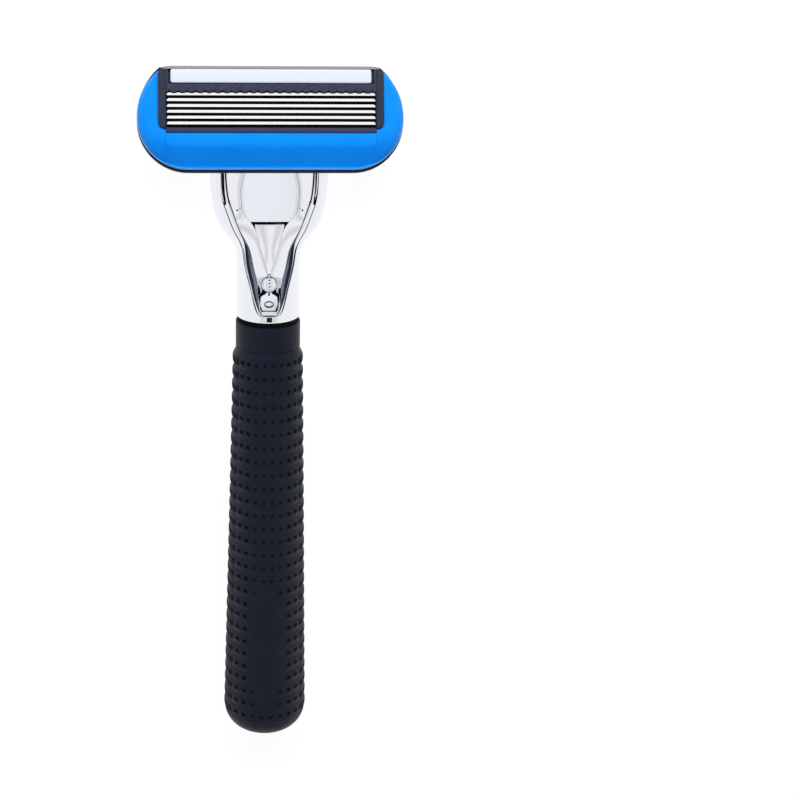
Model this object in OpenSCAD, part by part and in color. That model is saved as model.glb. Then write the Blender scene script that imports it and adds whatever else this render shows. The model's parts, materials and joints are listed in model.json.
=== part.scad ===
// Cartridge razor: a rubber-sleeved handle with a plated neck, a release button
// and a pivoting six-blade cartridge. It lies on its back with the blades up:
// +X along the blades, +Y towards the head, +Z away from the table.
// The origin is on the table, under the middle of the whole razor.

/* [Handle] */
// Length of the rubber grip from the neck seam to its end
grip_len = 79.4; // [70:0.5:95]
// Outer radius of the grip next to the collar
grip_r_top = 6.0; // [5.8:0.1:7]
// Outer radius of the grip near its end
grip_r_end = 7.4; // [7:0.1:9]
// Radius that rounds the grip's end
grip_end_round = 4.5; // [2:0.5:6]
// Angle by which the grip bends away from the neck
grip_bend = 4.4; // [0:0.1:8]
// Radius of the smooth collar under the neck
collar_r = 5.5; // [5.2:0.1:6]
// Length of the smooth collar
collar_len = 4.8; // [3:0.1:6]

/* [Neck] */
// Radius of the round part of the neck
neck_r = 5.35; // [5:0.05:5.5]
// Half the greatest width of the yoke that carries the head
yoke_half_w = 9.9; // [9.9:0.1:11]
// Length of the neck from the seam to the tips of the yoke
neck_len = 28.8; // [28.5:0.1:29]
// Play between the button and the parts around it
button_play = 0.15; // [0.1:0.05:0.2]
// Travel of the release button
button_travel = 2.5; // [1:0.1:2.8]

/* [Cartridge] */
// Width of the cartridge along the blades
head_w = 43.9; // [42:0.1:48]
// Height of the cartridge from its guard edge to its cap edge
head_h = 17.3; // [17:0.1:18]
// Angle between the cartridge's face and the neck at rest
face_tilt = 20; // [14:1:26]
// Number of blades
blade_count = 6; // [3:1:6]
// Exposed length of a blade
blade_len = 34.1; // [32:0.1:34.1]
// Distance between neighbouring blade edges
blade_pitch = 0.95; // [0.95:0.01:1]
// Distance from the pivot to the line along which the plunger pushes
cam_arm = 3.8; // [3.6:0.1:4]

/* [Hidden] */
$fn = 64;
eps = 0.01;

// Grip
bend_start = 8;
bend_len = 32;
bend_radius = bend_len / (grip_bend * PI / 180);
seal_len = 0.4;
seal_r = 5.1;
sleeve_start = seal_len + collar_len;
core_r = 4;
core_len = 74;
tang_r = 3;
tang_len = 9;
socket_depth = 9.3;
grip_sides = 40;

// Neck: the outline of the yoke that grows out of its round part, as
// [y, half width, half thickness]
yoke_tip_half_w = yoke_half_w - 1;
yoke_outline = [
    [10.5, neck_r, neck_r],
    [12, neck_r + 0.25, neck_r],
    [13.5, neck_r + 1, neck_r - 0.1],
    [15, yoke_half_w - 2.4, neck_r - 0.2],
    [16.5, yoke_half_w - 1.3, neck_r - 0.3],
    [19, yoke_half_w - 0.5, neck_r - 0.45],
    [22, yoke_half_w - 0.1, neck_r - 0.65],
    [25, yoke_half_w, neck_r - 0.95],
    [neck_len - 1, yoke_half_w - 0.3, neck_r - 1.5],
    [neck_len, yoke_tip_half_w, neck_r - 2]];
flat_depth = 0.25;
pocket_floor = 1;
pocket_half_w = 7.4;
pocket_outline = [
    [2.1, 1.6], [2.8, 4.2], [4, 11], [4.9, 14.2], [6.2, 17.3], [7.2, 20.4], [pocket_half_w, 22.5]];
bezel_outline = [
    [1.5, 2.5], [2, 4.6], [3.2, 11], [4.05, 14.2], [5.3, 17.3], [6.3, 20.4], [6.5, 23]];
bezel_top = 5.5;
bezel_fit = 0.03;
fork_start = 24.8;
nose_half_w = 4.8;
nose_low = -2.5;
nose_high = 1;
nose_start = 23.6;
nose_end = 28.2;
dock_half_w = 5;
dock_start = 17.8;
dock_end = 24.4;
dock_top = 4.9;
latch_size = 0.9;
latch_y = 0.85;

// Release button
button_top_y = 17.2;
button_tip_y = 9.4;
button_half_w = 2.4;
button_high = 4;
knob_y = 6.5;
knob_r = 1.3;
stem_half_w = 0.35;
knob_high = 4.4;
leaf_w = 0.3;
leaf_top = [0.25, 5];
leaf_foot = [1.3, 2.9];
leaf_eye_r = 0.8;
leaf_eye_y = 3.55;
leaf_high = 3;

// Pivot, plunger and its cam
pivot_y = 31.7;
pivot_z = 3;
pivot_travel = 40;
pin_r = 0.7;
pin_play = 0.04;
pin_half_len = 9.2;
plunger_r = 1.3;
plunger_play = 0.05;
plunger_z = pivot_z - cam_arm;
cam_lead = 0.6;
cam_gap = 0.05;
cam_half_w = 1.3;
cam_hub_r = 1.5;
plunger_tip = pivot_y - cam_lead - cam_gap;
plunger_back = 21;
plunger_tail_r = 0.7;
spring_wire = 0.3;
spring_r = 1.25;
spring_start = 15;
spring_turns = 7;
chamber_r = 1.55;
chamber_start = 14;
chamber_end = 22.5;

// Connector
conn_half_w = 7.2;
conn_low = -3.3;
conn_high = 1.9;
conn_start = 25;
conn_end = 30.4;
conn_play = 0.15;
conn_floor = 28.5;
window_half_w = 2.2;
window_low = -2.9;
ear_in = 5.6;
ear_r = 1.25;
lug_in = 7.4;
lug_r = 1.5;

// Cartridge, in its own frame: y runs up its face from the guard edge to the cap
// edge, and z = 0 is the plane of the blade edges
pivot_up = 6;
pivot_back = 6.6;
back_face = -5;
cover_top = -3.8;
corner_up = 9;
upper_r = 11.1;
lower_r = 8.4;
seat_half_w = 18.4;
guard_lift = 0.55;
seat_bottom = 6.2;
guard_bar_h = 0.8;
bay_half_w = 17.2;
bay_bottom = seat_bottom + guard_bar_h;
bay_top = 13.6;
floor_top = -3.2;
cap_bottom = 12.7;
cap_low = -1.5;
cap_high = 0.15;
clip_bottom = 6.9;
clip_top = 16.7;
clip_thick = 0.5;
strip_half_len = 16.4;
strip_bottom = 14.25;
strip_top = 16.55;
strip_low = -0.7;
strip_high = 0.3;
scallop_pitch = 1.44;
scallop_count = 23;
scallop_r = 0.75;
scallop_depth = 0.3;
lip_low = -0.02;
first_blade = 7.5;
blade_wide = 0.62;
blade_thick = 0.1;
blade_angle = 22;
support_thick = 0.15;
support_low = floor_top;
support_half_len = 16.9;

// Angle of the grip's axis, and a point on it, at a distance s from the seam
function bend_at(s) = grip_bend * max(0, min(1, (s - bend_start) / bend_len));
function straight_after(s) = max(0, s - bend_start - bend_len);
function axis_y(s) = s < bend_start ? -s
    : -bend_start - bend_radius * sin(bend_at(s)) - straight_after(s) * cos(grip_bend);
function axis_z(s) = s < bend_start ? 0
    : -bend_radius * (1 - cos(bend_at(s))) - straight_after(s) * sin(grip_bend);

// Outer radius of the grip at a distance s from the seam
function grip_r(s) = grip_r_top + (grip_r_end - grip_r_top) * (s - sleeve_start)
    / (grip_len - sleeve_start);

// The handle's own frame has +Y along the neck and the seam between neck and
// grip at y = 0. The razor lies on two places: the lowest point of its grip,
// where the end's rounding starts, and the yoke, which is cut flat there.
round_start = grip_len - grip_end_round;
grip_rest = [axis_y(round_start) + grip_r(round_start) * sin(grip_bend),
             axis_z(round_start) - grip_r(round_start) * cos(grip_bend)];
yoke_rest = [yoke_outline[6][0], flat_depth - yoke_outline[6][2]];
lay_tilt = atan((yoke_rest[1] - grip_rest[1]) / (yoke_rest[0] - grip_rest[0]));
lay_height = grip_rest[0] * sin(lay_tilt) - grip_rest[1] * cos(lay_tilt);
lay_shift = 17.24;

// Points round the grip's axis for a list of [distance from the seam, radius]
function ring_points(profile) = [
    for (p = profile, k = [0 : grip_sides - 1])
        let (a = 360 * k / grip_sides, b = bend_at(p[0]))
        [p[1] * sin(a),
         axis_y(p[0]) - p[1] * cos(a) * sin(b),
         axis_z(p[0]) + p[1] * cos(a) * cos(b)]];

// Faces between neighbouring rings, and the two flat ends
function ring_faces(n) = concat(
    [for (i = [0 : n - 2], k = [0 : grip_sides - 1])
        let (a = i * grip_sides + k, b = i * grip_sides + (k + 1) % grip_sides)
        [a, b, b + grip_sides, a + grip_sides]],
    [[for (k = [grip_sides - 1 : -1 : 0]) k]],
    [[for (k = [0 : grip_sides - 1]) (n - 1) * grip_sides + k]]);

// Solid of round section that follows the bent axis of the grip
module bent_rod(profile) {
    polyhedron(ring_points(profile), ring_faces(len(profile)), convexity = 4);
}

// Puts a solid of the handle's frame where it lies on the table
module laid() {
    translate([0, lay_shift, lay_height]) rotate([-lay_tilt, 0, 0]) children();
}

// Puts a solid of the cartridge's frame on the pivot
module on_pivot() {
    laid() translate([0, pivot_y, pivot_z]) rotate([-face_tilt, 0, 0])
        translate([0, -pivot_up, pivot_back]) children();
}

// Cylinder along the blades, centred on the middle plane
module cross_cylinder(r, half_len) {
    rotate([0, 90, 0]) cylinder(r = r, h = 2 * half_len, center = true);
}

// Cylinder along the handle, from y = a to y = b
module long_cylinder(r, a, b) {
    translate([0, a, 0]) rotate([-90, 0, 0]) cylinder(r = r, h = b - a);
}

// Block between two opposite corners
module block(low, high) {
    translate(low) cube(high - low);
}

// Both halves of an outline given by its right-hand edge from bottom to top
module mirrored_outline(edge) {
    polygon(concat(edge, [for (i = [len(edge) - 1 : -1 : 0]) [-edge[i][0], edge[i][1]]]));
}

// Outline of the cartridge's rubber frame: two small corners at the guard edge,
// two large ones that the cap edge cuts off
module head_outline(inset) {
    half = head_w / 2 - inset;
    low_r = lower_r - inset;
    high_r = upper_r - inset;
    intersection() {
        translate([-half, inset]) square([2 * half, head_h - 2 * inset]);
        union() {
            for (side = [-1, 1]) {
                intersection() {
                    translate([side * (half - low_r), inset + low_r]) circle(low_r);
                    translate([-half, inset]) square([2 * half, corner_up - inset]);
                }
                intersection() {
                    translate([side * (half - high_r), corner_up]) circle(high_r);
                    translate([-half, corner_up]) square([2 * half, head_h]);
                }
            }
            translate([low_r - half, inset]) square([2 * (half - low_r), head_h]);
            translate([-half, inset + low_r]) square([2 * half, corner_up - inset - low_r + eps]);
            translate([high_r - half, corner_up]) square([2 * (half - high_r), head_h]);
        }
    }
}

// Outline of the rubber, which leaves the back cover's lower edge showing
module guard_outline(inset) {
    intersection() {
        head_outline(inset);
        translate([0, guard_lift]) head_outline(inset);
    }
}

// The yoke: its width along the neck, cut to its thickness along the neck
module yoke() {
    edge = [for (p = yoke_outline) [p[1], p[0]]];
    top = [for (p = yoke_outline) [p[2], p[0]]];
    intersection() {
        translate([0, 0, -neck_r]) linear_extrude(2 * neck_r) mirrored_outline(edge);
        rotate([0, 90, 0]) linear_extrude(2 * head_w, center = true) mirrored_outline(top);
    }
}

module neck_shell() {
    color("gainsboro") difference() {
        laid() difference() {
            union() {
                difference() {
                    union() {
                        long_cylinder(neck_r, 0, yoke_outline[0][0] + 2);
                        yoke();
                    }
                    translate([0, 0, pocket_floor]) linear_extrude(2 * neck_r)
                        mirrored_outline(concat(pocket_outline, [[pocket_half_w, neck_len + 1]]));
                    block([-pocket_half_w, fork_start, -2 * neck_r],
                          [pocket_half_w, neck_len + 1, 2 * neck_r]);
                }
                block([-nose_half_w, nose_start, nose_low], [nose_half_w, nose_end, nose_high]);
                long_cylinder(tang_r, -tang_len, 1);
            }
            block([-latch_size / 2 - bezel_fit, latch_y - latch_size / 2, 0],
                  [latch_size / 2 + bezel_fit, latch_y + latch_size / 2, neck_r + 1]);
            translate([0, 0, plunger_z]) {
                long_cylinder(chamber_r, chamber_start, chamber_end);
                long_cylinder(plunger_r + plunger_play, chamber_end - 1, neck_len);
            }
        }
        // The flat back of the yoke, level with the table
        block([-head_w, -grip_len, -neck_r], [head_w, grip_len, 0]);
    }
}

module front_bezel() {
    color("whitesmoke") laid() translate([0, 0, pocket_floor])
        linear_extrude(bezel_top - pocket_floor) difference() {
            mirrored_outline([for (p = pocket_outline) [p[0] - bezel_fit, p[1]]]);
            mirrored_outline(bezel_outline);
        }
}

// The plate over the head's dock, hollow below so that the button can slide in
module dock_plate() {
    tunnel_half_w = button_half_w + button_play;
    color("lightgray") laid() difference() {
        block([-dock_half_w, dock_start, pocket_floor], [dock_half_w, dock_end, dock_top]);
        block([-tunnel_half_w, dock_start - 1, 0],
              [tunnel_half_w, button_top_y + button_travel + 0.4, button_high + 0.2]);
    }
}

module latch_tab() {
    color("dimgray") laid()
        block([-latch_size / 2, latch_y - latch_size / 2 + bezel_fit, 0],
              [latch_size / 2, latch_y + latch_size / 2 - bezel_fit, neck_r - 0.6]);
}

module seal_ring() {
    color("black") laid() difference() {
        long_cylinder(seal_r, -seal_len, 0);
        long_cylinder(core_r, -seal_len - 1, 1);
    }
}

module grip_collar() {
    color([0.13, 0.14, 0.17]) laid() difference() {
        long_cylinder(collar_r, -sleeve_start, -seal_len);
        long_cylinder(core_r, -sleeve_start - 1, 1);
    }
}

module grip_core() {
    color("dimgray") laid() difference() {
        bent_rod(concat([[0, core_r]],
            [for (s = [bend_start : 4 : bend_start + bend_len]) [s, core_r]],
            [[core_len, core_r]]));
        long_cylinder(tang_r, -socket_depth, 1);
    }
}

module grip_sleeve() {
    outside = concat(
        [for (s = [sleeve_start, bend_start, each [12 : 4 : round_start - 1]]) [s, grip_r(s)]],
        [for (a = [0 : 15 : 75])
            [round_start + grip_end_round * sin(a),
             grip_r(round_start) - grip_end_round * (1 - cos(a))]],
        [[grip_len, grip_r(round_start) - grip_end_round]]);
    inside = concat([[sleeve_start - 1, core_r]],
        [for (s = [bend_start : 4 : bend_start + bend_len]) [s, core_r]],
        [[core_len, core_r]]);
    color([0.1, 0.11, 0.14]) laid() difference() {
        bent_rod(outside);
        bent_rod(inside);
    }
}

// Flat spring under the button's knob: two legs, a foot and an eye between them
module button_spring() {
    leg = leaf_foot - leaf_top;
    color("silver") laid() translate([0, 0, pocket_floor]) linear_extrude(leaf_high) {
        difference() {
            translate([0, leaf_eye_y]) circle(leaf_eye_r);
            translate([0, leaf_eye_y]) circle(leaf_eye_r - leaf_w);
        }
        for (side = [0, 1]) mirror([side, 0])
            translate(leaf_top) rotate(atan2(leg[1], leg[0]))
                translate([0, -leaf_w / 2]) square([norm(leg), leaf_w]);
        translate([-leaf_foot[0], leaf_foot[1] - leaf_w]) square([2 * leaf_foot[0], leaf_w]);
    }
}

module release_button() {
    pad = [[stem_half_w, button_tip_y], [0.6, 10.6], [1, 12.4], [1.7, 14.6],
           [button_half_w, 16.6], [button_half_w, button_top_y]];
    low = pocket_floor + button_play;
    color("gainsboro") laid() union() {
        translate([0, 0, low]) linear_extrude(button_high - low) mirrored_outline(pad);
        block([-stem_half_w, knob_y, low], [stem_half_w, button_tip_y + 1, button_high - 0.4]);
        translate([0, knob_y, low]) cylinder(r = knob_r, h = knob_high - low);
    }
}

module plunger() {
    color("white") laid() translate([0, 0, plunger_z]) {
        long_cylinder(plunger_r, plunger_back, plunger_tip);
        long_cylinder(plunger_tail_r, spring_start + 3, plunger_back + eps);
    }
}

module plunger_spring() {
    turn_pitch = (plunger_back - spring_start - spring_wire) / spring_turns;
    color("silver") laid() translate([0, 0, plunger_z])
        for (i = [0 : spring_turns])
            translate([0, spring_start + spring_wire / 2 + i * turn_pitch, 0])
                rotate([90, 0, 0]) rotate_extrude()
                    translate([spring_r, 0]) circle(r = spring_wire / 2, $fn = 16);
}

module connector() {
    color([0.18, 0.18, 0.2]) laid() difference() {
        union() {
            block([-conn_half_w, conn_start, conn_low], [conn_half_w, conn_end, conn_high]);
            for (side = [-1, 1]) {
                translate([side * (ear_in + conn_half_w) / 2, pivot_y, pivot_z])
                    cross_cylinder(ear_r, (conn_half_w - ear_in) / 2);
                block([side > 0 ? ear_in : -conn_half_w, pivot_y - 2.6, conn_high - 1],
                      [side > 0 ? conn_half_w : -ear_in, pivot_y, pivot_z]);
            }
        }
        block([-nose_half_w - conn_play, conn_start - 1, nose_low - conn_play],
              [nose_half_w + conn_play, conn_floor, nose_high + conn_play]);
        block([-window_half_w, conn_start, window_low], [window_half_w, pivot_y + 1, conn_high + 1]);
        translate([0, pivot_y, pivot_z]) cross_cylinder(pin_r, head_w);
    }
}

module pivot_pin() {
    color("silver") laid() translate([0, pivot_y, pivot_z]) cross_cylinder(pin_r, pin_half_len);
}

// Rear face of the cam, an involute: the plunger moves by the same distance for
// every degree of pivoting. Points are [y, z] from the pivot's axis.
function cam_point(a) =
    let (reach = cam_lead + cam_arm * a * PI / 180)
    [cam_arm * sin(a) - reach * cos(a), -cam_arm * cos(a) - reach * sin(a)];

module cam() {
    cam_front = [[1.2, -4.9], [3.2, -1.5], [4.2, 1]];
    cam_root = [[2.4, 1.1], [-0.6, 1.8], [-cam_lead, -2]];
    difference() {
        laid() translate([0, pivot_y, pivot_z]) difference() {
            union() {
                rotate([90, 0, 90]) linear_extrude(2 * cam_half_w, center = true)
                    polygon(concat([for (a = [0 : 4 : pivot_travel]) cam_point(a)],
                        cam_front, cam_root));
                cross_cylinder(cam_hub_r, cam_half_w);
            }
            cross_cylinder(pin_r + pin_play, head_w);
        }
        on_pivot() block([-head_w, -head_h, back_face + eps], [head_w, 2 * head_h, head_h]);
    }
}

module back_cover() {
    color([0.09, 0.09, 0.11]) union() {
        on_pivot() translate([0, 0, back_face])
            linear_extrude(cover_top - back_face) head_outline(0);
        for (side = [-1, 1]) on_pivot() translate([0, pivot_up, -pivot_back]) difference() {
            union() {
                translate([side * (lug_in + pin_half_len) / 2, 0, 0])
                    cross_cylinder(lug_r, (pin_half_len - lug_in) / 2);
                block([side > 0 ? lug_in : -pin_half_len, -lug_r, 0],
                      [side > 0 ? pin_half_len : -lug_in, lug_r, pivot_back + back_face + eps]);
            }
            cross_cylinder(pin_r + pin_play, head_w);
        }
        cam();
    }
}

// The tray that holds the blades. Its front wall is the guard bar.
module cartridge_housing() {
    on_pivot() {
        color([0.12, 0.12, 0.15]) difference() {
            block([-seat_half_w, seat_bottom, cover_top],
                  [seat_half_w, head_h - 0.1, -clip_thick]);
            block([-bay_half_w, bay_bottom, floor_top], [bay_half_w, bay_top, 1]);
            block([-bay_half_w, bay_top - 1, cap_low], [bay_half_w, head_h, 1]);
        }
        color([0.28, 0.28, 0.36])
            block([-bay_half_w, seat_bottom, -clip_thick - eps], [bay_half_w, bay_bottom, 0]);
    }
}

module skin_guard() {
    color([0.1, 0.55, 0.96]) on_pivot() difference() {
        hull() {
            translate([0, 0, cover_top]) linear_extrude(1.2) guard_outline(0);
            translate([0, 0, cover_top]) linear_extrude(2.6) guard_outline(0.8);
            translate([0, 0, cover_top]) linear_extrude(3.6) guard_outline(2.6);
        }
        block([-seat_half_w, seat_bottom, cover_top - 1], [seat_half_w, 2 * head_h, 1]);
    }
}

// The cap, with the strip's recess, a scalloped edge and a lip over the last blade
module cap_frame() {
    color([0.2, 0.21, 0.28]) on_pivot() difference() {
        translate([0, 0, cap_low]) linear_extrude(cap_high - cap_low) union() {
            translate([-bay_half_w, cap_bottom + scallop_depth])
                square([2 * bay_half_w, head_h - cap_bottom - scallop_depth]);
            for (i = [0 : scallop_count - 1])
                translate([(i - (scallop_count - 1) / 2) * scallop_pitch,
                           cap_bottom + scallop_r])
                    circle(scallop_r);
        }
        block([-strip_half_len - 0.5, strip_bottom, strip_low],
              [strip_half_len + 0.5, strip_top, 1]);
        block([-bay_half_w - 1, cap_bottom - 1, cap_low - 1], [bay_half_w + 1, bay_top, lip_low]);
    }
}

module side_clip(side) {
    color([0.2, 0.2, 0.27]) on_pivot()
        block([side > 0 ? bay_half_w : -seat_half_w, clip_bottom, -clip_thick],
              [side > 0 ? seat_half_w : -bay_half_w, clip_top, cap_high]);
}

module side_clip_left() {
    side_clip(-1);
}

module side_clip_right() {
    side_clip(1);
}

module lubricating_strip() {
    color([0.93, 0.95, 0.98]) on_pivot()
        block([-strip_half_len, strip_bottom, strip_low], [strip_half_len, strip_top, strip_high]);
}

// A blade lies back from its edge at the blade angle, with a ground bevel
module blade(i) {
    bevel = 0.3;
    color("white") on_pivot() translate([0, first_blade + (i - 1) * blade_pitch, 0])
        rotate([-blade_angle, 0, 0]) rotate([90, 0, 90])
            linear_extrude(blade_len, center = true)
                polygon([[0, 0], [bevel, blade_thick / 2], [blade_wide, blade_thick / 2],
                         [blade_wide, -blade_thick / 2], [bevel, -blade_thick / 2]]);
}

// The bent support under a blade: a short leg along the blade, a long leg down
module blade_support(i) {
    c = cos(blade_angle);
    s = sin(blade_angle);
    near = 0.12;
    far = 0.5;
    under = blade_thick / 2;
    leg = under + support_thick;
    color("darkgray") on_pivot() translate([0, first_blade + (i - 1) * blade_pitch, 0])
        rotate([90, 0, 90]) linear_extrude(2 * support_half_len, center = true)
            polygon([[near * c - under * s, -near * s - under * c],
                     [far * c - under * s, -far * s - under * c],
                     [far * c - under * s, support_low],
                     [far * c - under * s - support_thick, support_low],
                     [far * c - under * s - support_thick,
                      -far * s - leg * c],
                     [near * c - leg * s, -near * s - leg * c]]);
}

neck_shell();
front_bezel();
dock_plate();
latch_tab();
seal_ring();
grip_collar();
grip_core();
grip_sleeve();
button_spring();
release_button();
plunger();
plunger_spring();
connector();
pivot_pin();
back_cover();
cartridge_housing();
skin_guard();
cap_frame();
side_clip_left();
side_clip_right();
lubricating_strip();
for (i = [1 : blade_count]) {
    blade(i);
    blade_support(i);
}
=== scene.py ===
"""Looks of the cartridge razor: rubber grip, plated neck and pivoting cartridge.

Lengths are in millimetres and are turned into metres by the two matrices HANDLE and
HEAD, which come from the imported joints. In the handle's frame +Y runs along the neck
from the seam between neck and grip, and +Z away from the table. In the head's frame
y ("up") runs over the cartridge's face from its guard edge to its cap edge, and z = 0
is the plane of the blade edges.
"""

import json
import math

import bmesh
import bpy
import numpy as np
from mathutils import Matrix, Vector


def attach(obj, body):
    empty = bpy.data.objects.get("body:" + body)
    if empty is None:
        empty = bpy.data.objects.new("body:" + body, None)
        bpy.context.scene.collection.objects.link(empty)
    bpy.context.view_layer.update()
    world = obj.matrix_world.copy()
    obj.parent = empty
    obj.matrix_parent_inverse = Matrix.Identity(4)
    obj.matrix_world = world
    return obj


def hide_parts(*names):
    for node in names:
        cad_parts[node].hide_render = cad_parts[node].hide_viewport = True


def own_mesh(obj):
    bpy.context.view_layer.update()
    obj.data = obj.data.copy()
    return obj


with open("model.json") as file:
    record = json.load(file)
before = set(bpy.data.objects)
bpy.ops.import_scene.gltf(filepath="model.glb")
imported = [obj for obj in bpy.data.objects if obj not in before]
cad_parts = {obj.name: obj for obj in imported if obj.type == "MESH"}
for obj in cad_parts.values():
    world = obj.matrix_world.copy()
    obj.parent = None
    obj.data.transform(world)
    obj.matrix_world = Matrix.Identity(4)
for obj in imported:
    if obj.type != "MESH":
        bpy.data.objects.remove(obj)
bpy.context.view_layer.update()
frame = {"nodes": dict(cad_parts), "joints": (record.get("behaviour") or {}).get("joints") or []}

MM = 0.001
FACE_TILT = 20
PIVOT_Y, PIVOT_Z = 31.7, 3.0
PIVOT_UP, PIVOT_BACK = 6.0, 6.6

# Material slots of a piece that has more than one
PLAIN, SECOND, THIRD = 0, 1, 2

WELD, SEAM_WELD = 1e-4, 2e-4
CAD_WELD = 2e-6
ROUND_STEPS = 3
BEND_TO_ROUND = math.radians(30)


# ---------------------------------------------------------------- frames

def handle_matrix():
    """Handle millimetres to metres, from the dock's axis and the pivot's place."""
    joints = {j["name"]: j for j in frame["joints"]}
    along = Vector(joints["cartridge_dock_slide"]["axis"]).normalized()
    across = Vector((1, 0, 0))
    away = across.cross(along)
    pivot = Vector(joints["cartridge_pivot"]["pos_m"])
    origin = pivot - along * PIVOT_Y * MM - away * PIVOT_Z * MM
    turn = Matrix((across, along, away)).transposed().to_4x4()
    return Matrix.Translation(origin) @ turn @ Matrix.Scale(MM, 4)


HANDLE = handle_matrix()
HEAD = (HANDLE @ Matrix.Translation((0, PIVOT_Y, PIVOT_Z))
        @ Matrix.Rotation(math.radians(-FACE_TILT), 4, "X")
        @ Matrix.Translation((0, -PIVOT_UP, PIVOT_BACK)))


# ---------------------------------------------------------------- mesh helpers

def smooth_curve(points):
    """Function through (x, y) points that never overshoots them."""
    x, y = np.array(points, float).T
    step = np.diff(x)
    slope = np.diff(y) / step
    bend = np.zeros(len(x))
    same = slope[:-1] * slope[1:] > 0
    w1, w2 = 2 * step[1:] + step[:-1], step[1:] + 2 * step[:-1]
    with np.errstate(divide="ignore", invalid="ignore"):
        mean = (w1 + w2) / (w1 / slope[:-1] + w2 / slope[1:])
    bend[1:-1] = np.where(same, mean, 0)
    bend[0], bend[-1] = slope[0], slope[-1]

    def value(t):
        t = np.clip(t, x[0], x[-1])
        i = np.clip(np.searchsorted(x, t) - 1, 0, len(x) - 2)
        u = (t - x[i]) / step[i]
        rise = y[i + 1] - y[i]
        a = bend[i] * step[i] - rise
        b = rise - bend[i + 1] * step[i]
        return y[i] + u * rise + u * (1 - u) * ((1 - u) * a + u * b)

    return value


def ease(t):
    """0 below 0, 1 above 1, smooth between."""
    t = np.clip(t, 0, 1)
    return t * t * (3 - 2 * t)


def grid_faces(rows, columns, closed=True):
    """Quads between neighbouring rows of points."""
    last = columns if closed else columns - 1
    return [(r * columns + c, r * columns + (c + 1) % columns,
             (r + 1) * columns + (c + 1) % columns, (r + 1) * columns + c)
            for r in range(rows - 1) for c in range(last)]


def end_faces(rows, columns):
    """The two faces that close a tube at its ends."""
    return [tuple(range(columns - 1, -1, -1)),
            tuple(range((rows - 1) * columns, rows * columns))]


def finish_mesh(bm, name, matrix, sharp=35):
    """Turns a bmesh in millimetres into a smooth-shaded object in metres."""
    bmesh.ops.recalc_face_normals(bm, faces=bm.faces)
    bmesh.ops.transform(bm, matrix=matrix, verts=bm.verts)
    mesh = bpy.data.meshes.new(name)
    bm.to_mesh(mesh)
    bm.free()
    mesh.shade_smooth()
    mesh.set_sharp_from_angle(angle=math.radians(sharp))
    obj = bpy.data.objects.new(name, mesh)
    bpy.context.scene.collection.objects.link(obj)
    return obj


def bmesh_from(points, faces, slots=None, weld=0.0):
    """bmesh of points and faces, with a material slot number for each face."""
    bm = bmesh.new()
    verts = [bm.verts.new(p) for p in points]
    for i, face in enumerate(faces):
        made = bm.faces.new([verts[k] for k in face])
        if slots is not None:
            made.material_index = slots[i]
    if weld:
        bmesh.ops.remove_doubles(bm, verts=bm.verts, dist=weld)
        bmesh.ops.dissolve_degenerate(bm, edges=bm.edges, dist=weld)
    return bm


def loft(sections, caps=True):
    """Tube through sections, each a closed loop of the same number of points."""
    sections = np.asarray(sections, float)
    rows, columns = sections.shape[:2]
    faces = grid_faces(rows, columns)
    if caps:
        faces += end_faces(rows, columns)
    return bmesh_from(sections.reshape(-1, 3), faces, weld=WELD)


def mirrored(half):
    """Both halves of a bmesh that is open along x = 0, welded there."""
    twin = bmesh.ops.duplicate(half, geom=half.verts[:] + half.edges[:] + half.faces[:])
    for item in twin["geom"]:
        if isinstance(item, bmesh.types.BMVert):
            item.co.x = -item.co.x
    bmesh.ops.remove_doubles(half, verts=half.verts, dist=SEAM_WELD)
    return half


def half_loft(rows, slots=None):
    """Piece from sections of its right half, which start and end at x = 0, with a slot
    number for each side face."""
    rows = np.array(rows)
    count, columns = rows.shape[:2]
    faces = grid_faces(count, columns, closed=False) + end_faces(count, columns)
    if slots is not None:
        slots = slots + [PLAIN, PLAIN]
    return mirrored(bmesh_from(rows.reshape(-1, 3), faces, slots))


def painted(bm, slot):
    """The same bmesh with every face in one material slot."""
    for face in bm.faces:
        face.material_index = slot
    return bm


def rounded_block(low, high, radius):
    """Box between two corners with rounded edges."""
    bm = bmesh.new()
    bmesh.ops.create_cube(bm, size=1)
    size = Vector(high) - Vector(low)
    middle = (Vector(high) + Vector(low)) / 2
    for v in bm.verts:
        v.co = Vector(v.co[i] * size[i] + middle[i] for i in range(3))
    bmesh.ops.bevel(bm, geom=bm.edges[:], offset=radius, segments=ROUND_STEPS, profile=0.5,
                    affect="EDGES", clamp_overlap=True)
    return bm


def joined(*parts):
    """One bmesh from several."""
    whole = parts[0]
    for part in parts[1:]:
        mesh = bpy.data.meshes.new("joining")
        part.to_mesh(mesh)
        part.free()
        whole.from_mesh(mesh)
        bpy.data.meshes.remove(mesh)
    return whole


def tube_along(path, radius, sides):
    """Round wire along a list of points."""
    path = np.asarray(path, float)
    ahead = np.gradient(path, axis=0)
    ahead /= np.linalg.norm(ahead, axis=1)[:, None]
    side = np.cross(ahead[0], (0.3, 0.2, 0.9))
    rings = []
    for p, t in zip(path, ahead):
        side = side - t * np.dot(side, t)
        side /= np.linalg.norm(side)
        other = np.cross(t, side)
        turn = np.linspace(0, 2 * np.pi, sides, endpoint=False)
        rings.append(p + radius * (np.cos(turn)[:, None] * side + np.sin(turn)[:, None] * other))
    return loft(rings)


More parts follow.
